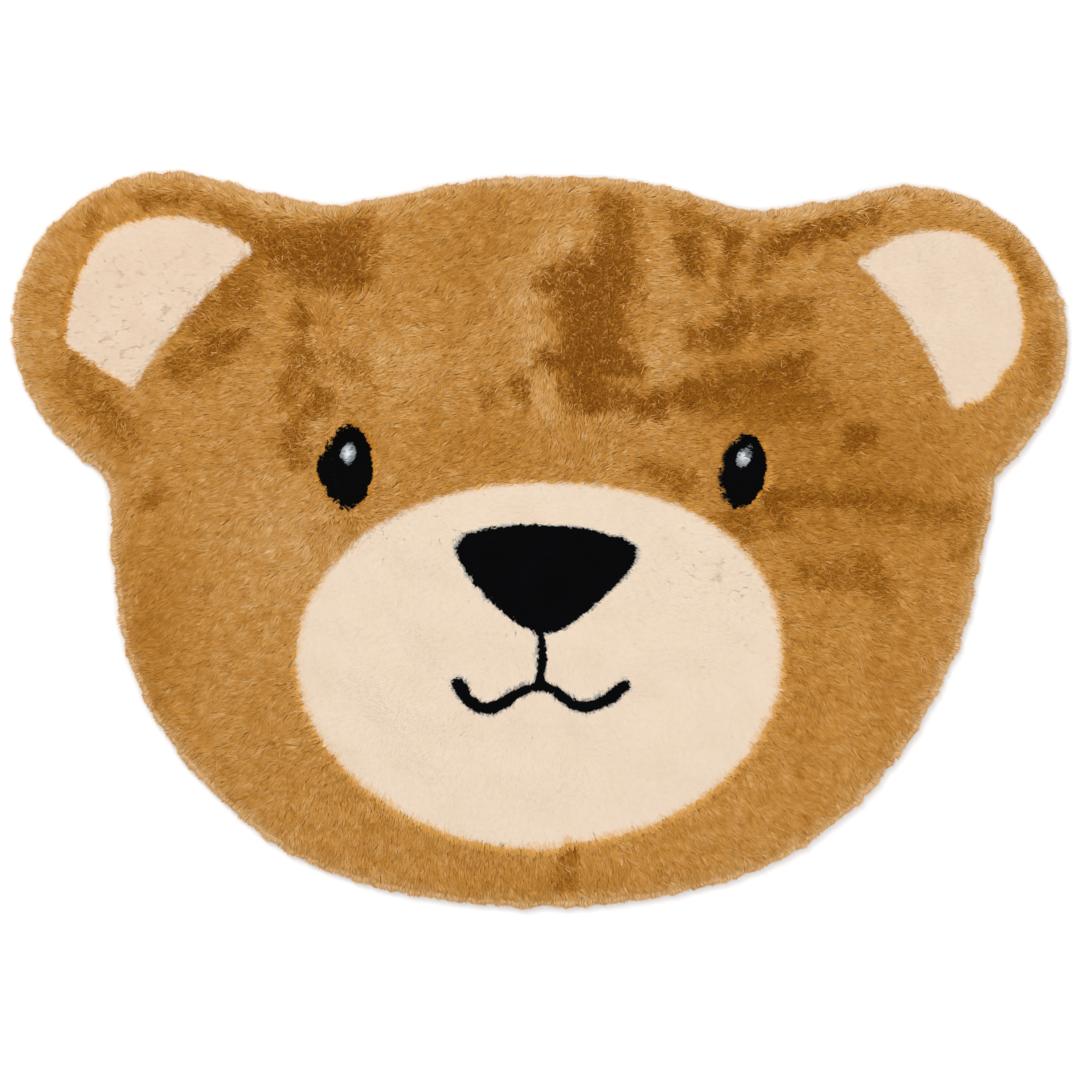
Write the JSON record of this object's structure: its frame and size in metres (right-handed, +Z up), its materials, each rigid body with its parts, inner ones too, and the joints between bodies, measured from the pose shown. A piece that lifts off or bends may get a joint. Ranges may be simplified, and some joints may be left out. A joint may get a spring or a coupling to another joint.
{
  "type": "animal head rug",
  "caption": "Flat one-piece short-pile plush rug cut to a bear's head with two round ears, its pile standing out in soft locks round the rim.",
  "frame": {"origin": "middle of the underside, under the centre of the rug's box, on the surface that it lies on", "axes": "+X along the rug's length from ear to ear, +Y from the chin to the crown, +Z up out of the pile"},
  "size_m": [0.998, 0.6966, 0.0185],
  "materials": {
    "brown_plush": "short, dense, soft pile, warm brown, which is the rug's ground colour",
    "cream_plush": "the same pile printed cream, on the muzzle and inside the ears",
    "black_plush": "the same pile printed black, on the eyes, nose and mouth"
  },
  "bodies": {
    "root": {"plush_rug": "brown_plush"}
  },
  "joints": []
}
